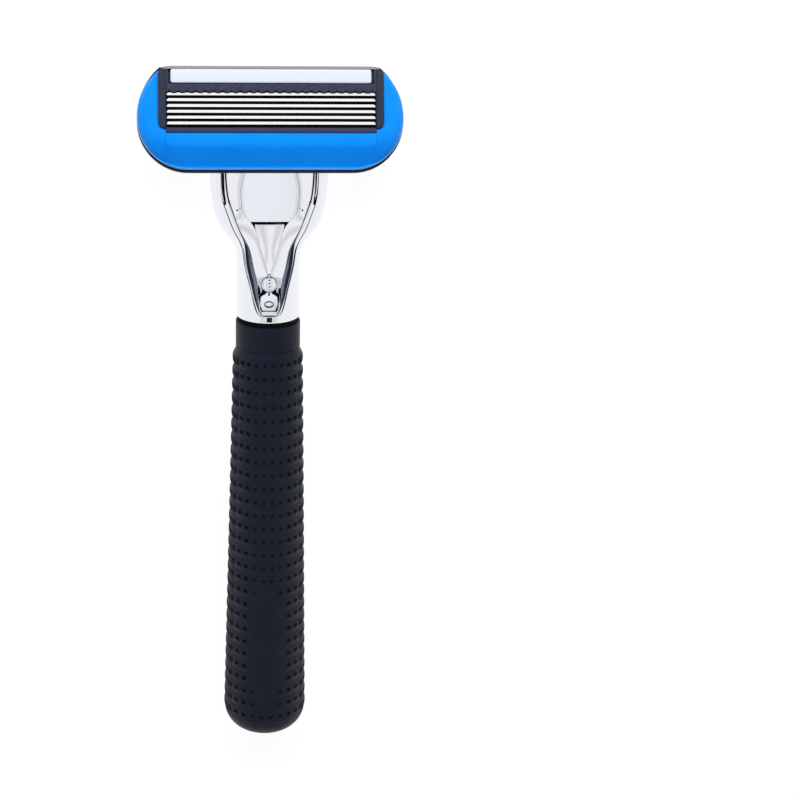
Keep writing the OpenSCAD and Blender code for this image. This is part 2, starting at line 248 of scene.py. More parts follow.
def softened(node, width):
    """Copy of a CAD node with its edges rounded."""
    source = frame["nodes"][node]
    bm = bmesh.new()
    bm.from_mesh(source.data)
    bmesh.ops.remove_doubles(bm, verts=bm.verts, dist=CAD_WELD)
    bmesh.ops.dissolve_limit(bm, angle_limit=math.radians(1), verts=bm.verts, edges=bm.edges)
    edges = [e for e in bm.edges
             if len(e.link_faces) == 2 and e.calc_face_angle() > BEND_TO_ROUND]
    bmesh.ops.bevel(bm, geom=edges, offset=width * MM, segments=ROUND_STEPS, profile=0.5,
                    affect="EDGES", clamp_overlap=True)
    return finish_mesh(bm, node + "_body", Matrix.Identity(4))


def place(obj, body, node, slot, *materials):
    """Puts a piece on its body, in place of its CAD node, with its materials."""
    for m in materials:
        obj.data.materials.append(m)
    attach(obj, body)
    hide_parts(node)
    return obj


# ---------------------------------------------------------------- materials

RUBBER_GRAIN, PLASTIC_GRAIN = 5200, 7000


def new_material(name, colour, roughness, metallic=0.0, specular=0.5):
    """Principled material with its flat values on its own sockets."""
    m = bpy.data.materials.new(name)
    m.use_nodes = True
    shader = m.node_tree.nodes["Principled BSDF"]
    shader.inputs["Base Color"].default_value = (*colour, 1)
    shader.inputs["Roughness"].default_value = roughness
    shader.inputs["Metallic"].default_value = metallic
    shader.inputs["Specular IOR Level"].default_value = specular
    return m, m.node_tree, shader


def noise(tree, scale, detail=3.0, stretch=(1, 1, 1)):
    """Noise in object space; its scale is in waves a metre."""
    where = tree.nodes.new("ShaderNodeTexCoord")
    mapping = tree.nodes.new("ShaderNodeMapping")
    mapping.inputs["Scale"].default_value = stretch
    texture = tree.nodes.new("ShaderNodeTexNoise")
    texture.inputs["Scale"].default_value = scale
    texture.inputs["Detail"].default_value = detail
    tree.links.new(where.outputs["Object"], mapping.inputs["Vector"])
    tree.links.new(mapping.outputs["Vector"], texture.inputs["Vector"])
    return texture.outputs["Fac"]


def math_node(tree, operation, first, second=0.0):
    """Output of a maths node; the first value is a socket, the second a number."""
    node = tree.nodes.new("ShaderNodeMath")
    node.operation = operation
    tree.links.new(first, node.inputs[0])
    node.inputs[1].default_value = second
    return node.outputs[0]


def vary_roughness(tree, shader, fac, low, high):
    """Roughness that follows a texture between two values."""
    span = tree.nodes.new("ShaderNodeMapRange")
    span.inputs["From Min"].default_value = 0.3
    span.inputs["From Max"].default_value = 0.7
    span.inputs["To Min"].default_value = low
    span.inputs["To Max"].default_value = high
    tree.links.new(fac, span.inputs["Value"])
    tree.links.new(span.outputs["Result"], shader.inputs["Roughness"])


def vary_colour(tree, shader, fac, dark, light):
    """Base colour that follows a texture between two colours."""
    ramp = tree.nodes.new("ShaderNodeValToRGB")
    ramp.color_ramp.elements[0].position = 0.3
    ramp.color_ramp.elements[1].position = 0.7
    ramp.color_ramp.elements[0].color = (*dark, 1)
    ramp.color_ramp.elements[1].color = (*light, 1)
    tree.links.new(fac, ramp.inputs["Fac"])
    tree.links.new(ramp.outputs["Color"], shader.inputs["Base Color"])


def add_bump(tree, shader, fac, height, strength=1.0):
    """Bump whose full height is in millimetres."""
    bump = tree.nodes.new("ShaderNodeBump")
    bump.inputs["Distance"].default_value = height * MM
    bump.inputs["Strength"].default_value = strength
    tree.links.new(fac, bump.inputs["Height"])
    tree.links.new(bump.outputs["Normal"], shader.inputs["Normal"])


def rubber(name, dark, light, roughness, specular, sheen=0.0):
    """Moulded soft rubber: fine grain, slow blotches of colour, a little sheen."""
    m, tree, shader = new_material(name, dark, roughness, specular=specular)
    vary_colour(tree, shader, noise(tree, 260, 4), dark, light)
    vary_roughness(tree, shader, noise(tree, 900, 3), roughness - 0.06, roughness + 0.06)
    add_bump(tree, shader, noise(tree, RUBBER_GRAIN, 2), 0.012, 0.6)
    shader.inputs["Sheen Weight"].default_value = sheen
    shader.inputs["Sheen Roughness"].default_value = 0.4
    shader.inputs["Sheen Tint"].default_value = (0.75, 0.8, 1, 1)
    return m


def moulded(name, dark, light, roughness, grain=PLASTIC_GRAIN, height=0.01, specular=0.2):
    """Hard moulded plastic with a fine spark-eroded grain."""
    m, tree, shader = new_material(name, dark, roughness, specular=specular)
    vary_colour(tree, shader, noise(tree, 3500, 3), dark, light)
    vary_roughness(tree, shader, noise(tree, 1500, 3), roughness - 0.08, roughness + 0.08)
    add_bump(tree, shader, noise(tree, grain, 2), height, 0.6)
    return m


def metal(name, colour, low, high, stretch=(1, 1, 1), scale=700, height=0.002):
    """Metal whose polish varies, with faint waves or brushed lines in it."""
    m, tree, shader = new_material(name, colour, low, 1.0)
    fac = noise(tree, scale, 3, stretch)
    vary_roughness(tree, shader, fac, low, high)
    add_bump(tree, shader, fac, height, 0.4)
    return m


CHROME = metal("chrome_plating", (0.83, 0.845, 0.885), 0.035, 0.075, scale=180, height=0.004)
PLATE_CHROME = metal("plate_plating", (0.83, 0.85, 0.91), 0.12, 0.2, scale=300, height=0.003)
# Mid grey-blue on the inner side of the bezel's rail groove: painted half-shade, lighter than the
# painted shade beside it.
RAIL_HALF_SHADE = moulded("painted_rail_half_shade", (0.24, 0.265, 0.33), (0.38, 0.41, 0.48), 0.3)
# Near-black for the bottoms and walls of grooves, gaps and small recesses on the plated parts, and
# for small dark marks on them: painted shade.
SHADOW_GAP = moulded("painted_groove_shade", (0.008, 0.011, 0.022), (0.014, 0.018, 0.034), 0.4)
SPRING_STEEL = metal("spring_steel", (0.62, 0.62, 0.65), 0.16, 0.3, (1, 6, 1), 1500)
BLADE_STEEL = metal("blade_steel", (0.99, 0.985, 0.975), 0.14, 0.24, (0.05, 1, 1), 5000, 0.001)
# Near-black for the blade supports, which show in the gaps between blades: painted shade, not the
# steel's own colour.
SUPPORT_SHADE = metal("painted_support_shade", (0.03, 0.03, 0.034), 0.35, 0.5, (0.1, 1, 1), 3000)
# Lighter metal for the strip along the cap's top edge: painted highlight of that rounded edge.
CAP_EDGE_HIGHLIGHT = metal("painted_cap_edge_highlight", (0.4, 0.41, 0.44), 0.25, 0.4, (0.1, 1, 1), 2500)
GRIP_RUBBER = rubber("grip_rubber", (0.005, 0.0062, 0.0135), (0.0082, 0.0098, 0.019), 0.48, 0.14,
                     sheen=0.035)
# Near-black for the studs: painted shade of their undersides; the copy below is a lighter painted
# shade for the fainter studs in front.
DARK_STUD_SHADE = rubber("painted_stud_shade", (0.0012, 0.0015, 0.004), (0.002, 0.0025, 0.006), 0.6, 0.04)
FAINT_STUD_SHADE = rubber("painted_faint_stud_shade", (0.0026, 0.0034, 0.008), (0.004, 0.005, 0.011), 0.55, 0.08)
SEAL_RUBBER = rubber("seal_rubber", (0.002, 0.002, 0.0025), (0.003, 0.003, 0.004), 0.7, 0.05)
BLUE_RUBBER = rubber("blue_rubber", (0.005, 0.285, 0.95), (0.007, 0.31, 0.99), 0.42, 0.06)
# Lighter, glossier blue for the lip round the guard's rim: painted highlight.
GUARD_RIM_HIGHLIGHT = rubber("painted_guard_rim_highlight", (0.1, 0.45, 0.97), (0.14, 0.5, 0.99), 0.35, 0.3)
DARK_PLASTIC = moulded("dark_plastic", (0.004, 0.004, 0.007), (0.009, 0.009, 0.014), 0.42)
TRAY_PLASTIC = moulded("tray_plastic", (0.036, 0.037, 0.072), (0.052, 0.053, 0.096), 0.45)
CAP_PLASTIC = moulded("cap_plastic", (0.022, 0.028, 0.045), (0.052, 0.062, 0.088), 0.5, 4200, 0.03)
CLIP_PLASTIC = moulded("clip_plastic", (0.022, 0.026, 0.046), (0.036, 0.041, 0.068), 0.4)
STRIP_POLYMER = moulded("strip_polymer", (0.77, 0.785, 0.85), (0.8, 0.82, 0.88), 0.45)
CORE_PLASTIC = moulded("core_plastic", (0.05, 0.05, 0.055), (0.08, 0.08, 0.085), 0.5)
WHITE_PLASTIC = moulded("white_plastic", (0.75, 0.75, 0.74), (0.8, 0.8, 0.79), 0.35, specular=0.5)

# CAD nodes that keep their shape and get rounded edges: node, body, slot, edge width
SOFTENED = [
    ("connector", "dock", "dark_plastic", 0.15, DARK_PLASTIC),
    ("pivot_pin", "dock", "spring_steel", 0.1, SPRING_STEEL),
    ("plunger", "plunger", "white_plastic", 0.12, WHITE_PLASTIC),
    ("back_cover", "cartridge", "dark_plastic", 0.12, DARK_PLASTIC),
]


# ---------------------------------------------------------------- grip

GRIP_LEN = 79.4
SEAL_LEN = 0.4
COLLAR_LEN = 4.8
COLLAR_R = 5.5
SLEEVE_START = SEAL_LEN + COLLAR_LEN
GRIP_R_TOP, GRIP_R_END = 6.0, 7.4
END_ROUND = 4.5
BEND, BEND_START, BEND_LEN = math.radians(4.4), 8.0, 32.0
STUD_ROWS, STUD_COLUMNS = 28, 26
STUD_FIRST, STUD_PITCH = 7.27, 2.479
STUD_HALF, STUD_LONG = 0.37, 0.67
STUD_SHARE, STUD_WIDE = 0.245, 0.375
STUD_HEIGHT, PANEL_INSET = 0.08, 0.12
FAINT_WIDTH = 0.45
RING_FRONT, RING_DEPTH = 0.05, 0.38
BAND_START = 0.78


def grip_axis(s):
    """Point of the grip's axis and its bend at a distance s from the seam."""
    bend = BEND * np.clip((s - BEND_START) / BEND_LEN, 0, 1)
    radius = BEND_LEN / BEND
    past = np.maximum(0, s - BEND_START - BEND_LEN)
    before = np.minimum(s, BEND_START)
    y = -before - radius * np.sin(bend) - past * np.cos(bend)
    z = -radius * (1 - np.cos(bend)) - past * np.sin(bend)
    return y, z, bend


def around_grip(s, radius, angle):
    """Points round the grip's axis; angle 0 is the front."""
    y, z, bend = grip_axis(s)
    return np.stack([radius * np.sin(angle),
                     y - radius * np.cos(angle) * np.sin(bend),
                     z + radius * np.cos(angle) * np.cos(bend)], -1)


def tip_radius(s):
    """Radius over the tips of the studs."""
    return GRIP_R_TOP + (GRIP_R_END - GRIP_R_TOP) * (s - SLEEVE_START) / (GRIP_LEN - SLEEVE_START)


def stud_missing(row, column):
    """True where the smooth oval panel takes the place of studs."""
    from_front = min(column + 0.5, STUD_COLUMNS - column - 0.5)
    return (from_front < 1 and 17 <= row <= 26) or (1 < from_front < 2 and 18 <= row <= 24)


def studded_sleeve():
    """Rubber sleeve: rounded rings with a row of studs on each, longer and wider at the sides
    and back, darkened with painted shade, fainter in front, with a smooth panel and a domed end."""
    cell = 2 * np.pi / STUD_COLUMNS
    in_cell = np.array([-0.45, -0.37, -0.29, -0.24, -0.12, 0, 0.12, 0.24, 0.29, 0.37, 0.45])
    in_row = np.array([-0.5, -0.44, -0.36, -0.27, -0.19, -0.14, 0, 0.14, 0.19, 0.27, 0.36, 0.44])
    angle = ((np.arange(STUD_COLUMNS)[:, None] + 0.5 + in_cell) * cell).ravel()
    zone = (STUD_FIRST + (np.arange(STUD_ROWS)[:, None] + in_row) * STUD_PITCH).ravel()
    round_start = GRIP_LEN - END_ROUND
    end_s = round_start + END_ROUND * np.sin(np.linspace(0, np.pi / 2, 14))
    zone_end = STUD_FIRST + (STUD_ROWS - 0.5) * STUD_PITCH
    s = np.concatenate([[SLEEVE_START, SLEEVE_START + 0.04, SLEEVE_START + 0.15, 5.7], zone,
                        [zone_end], end_s[end_s > zone_end + 0.05]])
    row = np.round((s - STUD_FIRST) / STUD_PITCH).astype(int)
    column = np.floor(angle / cell).astype(int)
    ds = s - STUD_FIRST - row * STUD_PITCH
    ringed = (row >= 0) & (row < STUD_ROWS) & (s > zone[0] - 1e-6)
    valley = np.clip(np.abs(2 * ds / STUD_PITCH), 0, 1) ** 2.4
    sunk = 1 - (1 - valley) ** 0.7
    plain = tip_radius(s) - PANEL_INSET
    depth = RING_FRONT + (RING_DEPTH - RING_FRONT) * ease((1 - np.cos(angle)) / 0.9)
    ring = (tip_radius(s) - STUD_HEIGHT)[:, None] - depth[None, :] * sunk[:, None]
    start = COLLAR_R - 0.12 * np.clip(1 - (s - SLEEVE_START) / 0.15, 0, 1) ** 2
    drop = np.clip((s - round_start) / END_ROUND, 0, 1)
    dome = tip_radius(round_start) - PANEL_INSET - END_ROUND * (1 - np.sqrt(1 - drop ** 2))
    plain = np.where(s > round_start, dome, np.where(s < zone[0] + 1e-6, start, plain))
    missing = np.array([[stud_missing(r, c) for c in column] for r in row])
    radius = np.where(ringed[:, None] & ~missing, ring, plain[:, None])
    sideways = ease((1 - np.cos(angle) - 0.4) / 0.2)
    half = STUD_HALF + (STUD_LONG - STUD_HALF) * sideways
    across = (angle / cell - column - 0.5) / (STUD_SHARE + (STUD_WIDE - STUD_SHARE) * sideways)
    along = (ds[:, None] - 0.2 * sideways) / half
    reach = (np.abs(along) ** 5 + np.abs(across) ** 5) ** (1 / 5)
    studs = ringed[:, None] & ~missing & (reach < 1.15)
    radius = radius + STUD_HEIGHT * studs
    rings = around_grip(s[:, None], radius, angle[None, :])
    count, columns = radius.shape
    faces = grid_faces(count, columns)
    corner = studs.ravel()
    # Stud faces take painted shade: the lighter copy near the front and the back, where |sin(angle)|
    # is below FAINT_WIDTH, the dark one at the sides.
    look = np.where(np.abs(np.sin(angle)) < FAINT_WIDTH, THIRD, SECOND)
    slots = [int(look[face[0] % columns]) if all(corner[k] for k in face) else PLAIN
             for face in faces]
    faces += end_faces(count, columns)
    return finish_mesh(bmesh_from(rings.reshape(-1, 3), faces, slots + [PLAIN, PLAIN]),
                       "studded_sleeve", HANDLE, sharp=60)


def seal():
    """Black ring in the gap between the neck and the rubber."""
    angle = np.linspace(0, 2 * np.pi, 96, endpoint=False)
    profile = [(0.02, 4.1), (0.02, 5.1), (0.1, 5.22), (0.9, 5.22), (0.9, 4.1)]
    rings = [around_grip(np.full_like(angle, s), r, angle) for s, r in profile + profile[:1]]
    return finish_mesh(loft(rings, caps=False), "seal", HANDLE)


def collar_band():
    """Smooth band under the neck, with rounded edges."""
    edge = 0.15
    curve = edge * (1 - np.cos(np.linspace(0, np.pi / 2, 6)))
    s = np.concatenate([BAND_START + curve, np.linspace(BAND_START + 0.3, SLEEVE_START - 0.3, 8),
                        SLEEVE_START - curve[::-1]])
    near = np.minimum(s - BAND_START, SLEEVE_START - s)
    r = COLLAR_R - edge + np.sqrt(edge ** 2 - np.clip(edge - near, 0, edge) ** 2)
    angle = np.linspace(0, 2 * np.pi, 160, endpoint=False)
    rings = around_grip(s[:, None], r[:, None], angle[None, :])
    return finish_mesh(loft(rings), "collar_band", HANDLE)


# ---------------------------------------------------------------- neck

NECK_R = 5.35
NECK_LEN = 28.8
FORK_START = 24.8
FORK_HALF_W = 7.4
POCKET_FLOOR = 1.0
POCKET_START = 1.35
LIP = 0.12
BACK_POINTS, FRONT_POINTS, LIP_POINTS, FLOOR_POINTS = 40, 30, 3, 8
WALL_COLUMN = BACK_POINTS + FRONT_POINTS + LIP_POINTS + 2
HALF_WIDTH = smooth_curve([(0, 5.35), (9.5, 5.35), (11.2, 5.45), (12.4, 5.8), (13.5, 6.35),
                           (15, 7.45), (16.5, 8.5), (19, 9.3), (22, 9.7), (25, 9.9),
                           (27.4, 9.7), (28.3, 9.2), (28.8, 8.5)])
THICKNESS = smooth_curve([(0, 5.35), (12, 5.35), (16.5, 5.05), (22, 4.7), (25, 4.4),
                          (27.4, 3.95), (28.3, 3.6), (28.8, 3.0)])
SQUARENESS = smooth_curve([(0, 2), (10, 2), (17, 2.5), (24, 2.8), (28.8, 2.8)])
RIM_OUT = smooth_curve([(1.35, 1.45), (1.5, 1.8), (1.9, 2.2), (3.1, 2.65), (6, 3.3), (9.7, 4.2),
                        (12.7, 4.65), (13.8, 5.0), (16.4, 6.3), (19.5, 7.45),
                        (20.5, 7.8), (23, 8.18), (28.8, 8.35)])
RIM_IN = smooth_curve([(1.35, 0.9), (1.7, 1.4), (2.2, 1.75), (3.1, 2.1), (4.2, 2.45), (6.9, 3.12),
                       (10.2, 3.82), (12.85, 4.05), (13.7, 4.15), (16.4, 5.2), (19.4, 6.3),
                       (22, 7.1), (25.8, 7.46), (28.8, 7.5)])
RAIL_IN = smooth_curve([(1.35, 0.85), (1.7, 1.3), (2.2, 1.62), (3.1, 1.8), (4.6, 1.9), (6.9, 2.05),
                        (10.2, 2.75), (12.85, 3.3), (13.9, 3.75), (16.4, 5.05), (19.4, 6.1),
                        (22, 6.92), (25.8, 7.26), (28.8, 7.3)])
BUTTON_HALF_W = smooth_curve([(8.2, 0.12), (9.4, 0.5), (10.6, 0.9), (12.7, 1.5), (14.5, 2.0),
                              (16.9, 2.5), (17.2, 2.5)])
PLATE_HALF_W = smooth_curve([(17.75, 3.25), (18.0, 3.6), (18.9, 4.3), (21, 4.75), (23.2, 4.85),
                             (26, 4.35), (27.4, 4.1)])
BEZEL_START, BEZEL_CLOSED, BEZEL_OPEN_BACK, BEZEL_END = 1.39, 1.78, 24.7, 28.2
BEZEL_LOW, BEZEL_FLOOR, SHELF_LOW, SHELF_FLOOR = 1.03, 1.15, 2.4, 2.5
WALL_GAP = smooth_curve([(1.4, 0.07), (3, 0.16), (12.5, 0.2), (14, 0.09), (20.3, 0.09),
                         (20.6, 0.42), (22.5, 0.5), (28.8, 0.52)])
RAIL_DEPTH = smooth_curve([(1.4, 0.12), (2.6, 0.3), (4, 0.5), (12.8, 0.5), (14.0, 0.12),
                           (20.2, 0.12), (20.6, 0.6), (28.8, 0.6)])
OPENING = smooth_curve([(1.78, 1.3), (2.1, 1.5), (3, 1.62), (4.3, 1.76), (4.85, 1.7),
                        (5.25, 1.22), (5.8, 1.3), (6.5, 1.4), (7, 1.3), (7.4, 1.08), (7.7, 0.72),
                        (7.95, 0.3), (8.2, 0.2), (9.4, 0.54),
                        (10.6, 0.94), (12.7, 1.54), (14.5, 2.04), (15.95, 2.35),
                        (17.7, 3.3), (18.0, 3.66), (18.9, 4.36), (21, 4.81), (23.2, 4.91),
                        (26, 4.41), (27.4, 4.16), (28.8, 4.1)])
OPENING_HIGH = smooth_curve([(1.4, 4.3), (4, 3.75), (8, 3.6), (12, 3.72), (15, 3.88),
                             (17.2, 4.2), (18.2, 4.45), (20, 4.75), (24, 4.8), (28.8, 4.75)])
# Stretch of y where the opening's wall keeps chrome instead of painted shade.
BRIGHT_WALL = (8.4, 15.4)
PIPS = [(5.42, 19.75, 0.17), (4.98, 20.15, 0.11), (6.9, 21.0, 0.12)]
BUTTON_START, BUTTON_END = 8.25, 17.2
KNOB_Y, KNOB_R, KNOB_HIGH = 6.5, 1.3, 4.4
KNOB_DOTS = [(8.3, 3.66), (7.45, 4.2), (6.9, 4.33), (6.35, 4.37), (5.85, 4.27)]
EYE_Y = 2.93
COIL_START, COIL_Z, COIL_R, COIL_WIRE_R, COIL_TURNS = 15, -0.8, 1.25, 0.15, 9
LATCH_Y, LATCH_HALF, SQUARE_AT, SQUARE_HALF = 0.79, 0.46, 0.24, 0.18
PLATE_LOW, PLATE_HIGH, PLATE_START, PLATE_END = 4.3, 4.9, 17.8, 27.4


def table_height(y):
    """z of the table in the handle's frame."""
    inverse = HANDLE.inverted()
    near, far = (inverse @ Vector((0, v, 0)) for v in (0.0, 0.05))
    return near.z + (y - near.y) * (far.z - near.z) / (far.y - near.y)


def front_height(x, y):
    """z of the neck's front surface."""
    w, t, p = HALF_WIDTH(y), THICKNESS(y), SQUARENESS(y)
    return t * np.clip(1 - np.clip(np.abs(x) / w, 0, 1) ** p, 0, 1) ** (1 / p)


def neck_section(y, end_inset, pocket, fork):
    """Right half of the neck's section, from the middle of the back to the middle of
    the pocket's floor."""
    w, t, p = HALF_WIDTH(y) - end_inset, THICKNESS(y) - end_inset, SQUARENESS(y)
    out = RIM_OUT(y)
    top = math.acos(min(1, (out / w) ** (p / 2)))
    turn = np.concatenate([np.linspace(-np.pi / 2, 0, BACK_POINTS),
                           np.linspace(0, top, FRONT_POINTS + 1)[1:]])
    x = w * np.abs(np.cos(turn)) ** (2 / p)
    z = t * np.sign(np.sin(turn)) * np.abs(np.sin(turn)) ** (2 / p)
    x[-1] = out
    edge_z = z[-1]
    lip = np.linspace(0, np.pi / 2, LIP_POINTS + 1)[1:]
    floor_x = np.linspace(out - 0.2, 0, FLOOR_POINTS)
    if pocket:
        inner_x = np.concatenate([out - LIP * np.sin(lip), [out - LIP] * 2, floor_x])
        inner_z = np.concatenate([edge_z - LIP * (1 - np.cos(lip)),
                                  [edge_z * 0.5 + POCKET_FLOOR * 0.5, POCKET_FLOOR],
                                  [POCKET_FLOOR] * FLOOR_POINTS])
    else:
        inner_x = np.concatenate([out - 0.05 * np.sin(lip), [out - 0.06, out - 0.07], floor_x])
        full = np.clip(1 - (inner_x / w) ** p, 0, 1)
        inner_z = t * full ** (1 / p)
    x = np.concatenate([x, inner_x])
    z = np.concatenate([z, inner_z])
    z = np.maximum(z, table_height(y))
    if fork:
        floor = -t * (1 - (FORK_HALF_W / w) ** p) ** (1 / p)
        inside = x < FORK_HALF_W
        z = np.where(inside & (z < floor), floor, z)
        x = np.maximum(x, FORK_HALF_W)
    return np.stack([x, np.full(len(x), y), z], -1)


def neck_body():
    """Plated neck: a round tube that widens into the yoke, with the pocket for the
    front parts, the open fork and the docking nose."""
    edge = 0.3
    turn = np.linspace(0, np.pi / 2, 6)
    tube = [(edge * (1 - math.cos(a)), edge * (1 - math.sin(a)), False, False) for a in turn]
    tube += [(y, 0, False, False) for y in (0.7, 1.0, 1.25, POCKET_START)]
    bowl = [(POCKET_START + 0.001, 0, True, False)]
    bowl += [(y, 0, True, False) for y in POCKET_START + 0.08 * np.arange(1, 12)]
    bowl += [(y, 0, True, False) for y in np.arange(2.4, FORK_START, 0.2)]
    fork = [(FORK_START, 0, True, False), (FORK_START + 0.001, 0, True, True)]
    fork += [(y, 0, True, True) for y in np.arange(25, NECK_LEN, 0.15)]
    fork += [(NECK_LEN, 0, True, True)]
    rows = np.array([neck_section(*r) for r in tube + bowl + fork])
    count, columns = rows.shape[:2]
    faces = grid_faces(count, columns, closed=False)
    # The pocket's wall and floor, and the fork's inner faces, take slot SECOND, painted shade.
    slots = [SECOND if c >= WALL_COLUMN and r >= len(tube) - 1 else PLAIN
             for r in range(count - 1) for c in range(columns - 1)]
    for r in range(len(tube + bowl) + 1, count - 1):
        faces.append((r * columns, (r + 1) * columns, (r + 2) * columns - 1, (r + 1) * columns - 1))
        slots.append(SECOND)
    faces += reversed(end_faces(count, columns))
    whole = mirrored(bmesh_from(rows.reshape(-1, 3), faces, slots + [PLAIN, PLAIN]))
    bmesh.ops.dissolve_degenerate(whole, edges=whole.edges, dist=WELD)
    nose = rounded_block((-4.8, 23.6, -2.5), (4.8, 28.2, 1.0), 0.35)
    return finish_mesh(joined(whole, nose), "neck_body", HANDLE, sharp=38)


def bezel_section(y):
    """Right half of the bezel's section and the slot of each of its columns: outer wall,
    bead, rail groove, hollow flank, then the opening's wall."""
    closed = y < BEZEL_CLOSED
    low, floor = (BEZEL_LOW, BEZEL_FLOOR) if y < BEZEL_OPEN_BACK else (SHELF_LOW, SHELF_FLOOR)
    wall = RIM_OUT(y) - LIP - WALL_GAP(y)
    bead, rail = min(RIM_IN(y), wall - 0.12), min(RAIL_IN(y), wall - 0.22)
    inner = min(OPENING(y), rail - 0.12)
    end_drop = 0.18 * (1 - ease((y - BEZEL_START) / 0.2))
    turn = np.linspace(0, np.pi / 2, 4)
    soft = min(0.12, (wall - bead) * 0.3)

    def high(x):
        middle, reach = (wall + bead) / 2, max((wall - bead) / 2, 1e-3)
        crown = 0.14 * np.clip(1 - ((x - middle) / reach) ** 2, 0, 1)
        return front_height(x, y) + crown - end_drop

    x_out = wall - soft * (1 - np.cos(turn))
    x_bead = np.linspace(wall - soft, bead + soft, 8)[1:-1]
    x_in = bead + soft * (1 - np.sin(turn))
    bead_x = np.concatenate([x_out, x_bead, x_in])
    bead_z = np.concatenate([high(x_out) - soft * (1 - np.sin(turn)), high(x_bead),
                             high(x_in) - soft * (1 - np.cos(turn))])
    groove_z = high(bead) - RAIL_DEPTH(y)
    start = front_height(rail, y) - end_drop - 0.04
    end = OPENING_HIGH(y) if not closed else start
    share = np.linspace(1, 0, 14)[1:]
    flank_x = inner + (rail - inner) * share
    flank_z = end + (start - end) * share ** 1.7
    drop = flank_z[-1] if closed else floor
    middle = bead + 0.45 * (rail - bead)
    x = np.concatenate([[0, wall, wall], bead_x, [bead, middle, rail], [rail, rail - 0.02], flank_x,
                        [inner - 0.02, inner - 0.03, inner * 0.5, 0]])
    z = np.concatenate([[low, low, high(wall) - 0.16], bead_z,
                        [groove_z, groove_z, groove_z * 0.45 + start * 0.55],
                        [start - 0.05, start], flank_z,
                        [flank_z[-1] - 0.03, drop, drop, drop]])
    first_groove = 3 + len(bead_x)
    # Slot SECOND is painted shade on the outer wall, the groove's outer side and, outside
    # BRIGHT_WALL, the opening's wall and floor; slot THIRD is painted half-shade on the groove's
    # rise to the rail.
    slots = np.full(len(x), PLAIN)
    slots[:2] = SECOND
    slots[first_groove - 1:first_groove + 1] = SECOND
    slots[first_groove + 1:first_groove + 3] = THIRD
    if not closed and not BRIGHT_WALL[0] < y < BRIGHT_WALL[1]:
        slots[-4:] = SECOND
    return np.stack([x, np.full(len(x), y), z], -1), slots


def bezel_height(x, y):
    """z of the bezel's upper surface."""
    points = bezel_section(y)[0][3:-4]
    return float(np.interp(x, points[::-1, 0], points[::-1, 2]))


def front_bezel():
    """Plated bezel in the neck's pocket: a bead that follows the yoke, a rail groove and
    hollow flanks that fall to the button's opening."""
    rows_y = np.concatenate([BEZEL_START + 0.05 * np.arange(7), [BEZEL_CLOSED + 0.001],
                             np.arange(1.9, BEZEL_OPEN_BACK, 0.15),
                             [BEZEL_OPEN_BACK, BEZEL_OPEN_BACK + 0.001],
                             np.arange(24.85, BEZEL_END, 0.15), [BEZEL_END]])
    sections, row_slots = zip(*(bezel_section(y) for y in rows_y))
    slots = [int(slot) for row in row_slots[:-1] for slot in row[:-1]]
    # Dark pips on the bead in slot SECOND, painted shade.
    pips = [painted(bead_at((side * x, y, bezel_height(x, y) + 0.02), r), SECOND)
            for side in (-1, 1) for x, y, r in PIPS]
    return finish_mesh(joined(half_loft(sections, slots), *pips), "bezel_body", HANDLE, sharp=40)


def button_section(y):
    """Right half of the button's section: hollow thumb face between raised edges."""
    w = BUTTON_HALF_W(y)
    near_end = ease((y - BUTTON_END + 0.45) / 0.3)
    edge = 3.72 + 0.2 * ease((y - 10) / 6) + 0.08 * near_end - 0.16 * ease((y - 17.08) / 0.12)
    hollow = 0.34 * ease((y - 9.5) / 4) * (1 - 0.85 * near_end)
    soft = min(0.12, w * 0.4)
    turn = np.linspace(0, np.pi / 2, 4)
    share = np.linspace(1, 0, 11)[1:]
    x = np.concatenate([[0, w], w - soft * (1 - np.cos(turn)), (w - soft) * share])
    z = np.concatenate([[1.35, 1.35], edge - soft * (1 - np.sin(turn)),
                        edge - hollow * (1 - share ** 2.2)])
    return np.stack([x, np.full(len(x), y), z], -1)


def release_button():
    """Button: a funnel-shaped thumb face whose point carries a round knob."""
    rows_y = np.concatenate([[BUTTON_START], np.arange(8.4, 17.0, 0.15),
                             [17.0, 17.06, 17.12, 17.17, BUTTON_END]])
    pad = half_loft([button_section(y) for y in rows_y])
    around = np.linspace(0, 2 * np.pi, 48, endpoint=False)
    profile = [(KNOB_R - 0.1, 1.35), (KNOB_R, 1.5), (KNOB_R, 3.85), (KNOB_R - 0.05, 3.97),
               (KNOB_R - 0.16, 4.05), (0.95, 4.2), (0.7, 4.31), (0.4, 4.37), (0.05, KNOB_HIGH)]
    knob = loft([[(r * math.cos(a), KNOB_Y + r * math.sin(a), z) for a in around]
                 for r, z in profile])
    stem = rounded_block((-0.14, 7.2, 1.6), (0.14, 8.6, 3.7), 0.05)
    # Tail and dots take slot SECOND, painted shade.
    tail = painted(rounded_block((-0.14, 5.08, 3.0), (0.14, 5.4, 3.7), 0.04), SECOND)
    dots = [painted(bead_at((0, y, z), 0.15), SECOND) for y, z in KNOB_DOTS]
    return finish_mesh(joined(pad, knob, stem, tail, *dots), "button_body", HANDLE, sharp=40)


def bead_at(middle, radius):
    """Small ball with a flattened foot, used for moulded dots."""
    turn = np.linspace(-np.pi / 2 + 0.15, np.pi / 2 - 0.15, 7)
    around = np.linspace(0, 2 * np.pi, 14, endpoint=False)
    return loft([[(middle[0] + radius * math.cos(t) * math.cos(a),
                   middle[1] + radius * math.cos(t) * math.sin(a),
                   middle[2] + 0.7 * radius * math.sin(t)) for a in around] for t in turn])


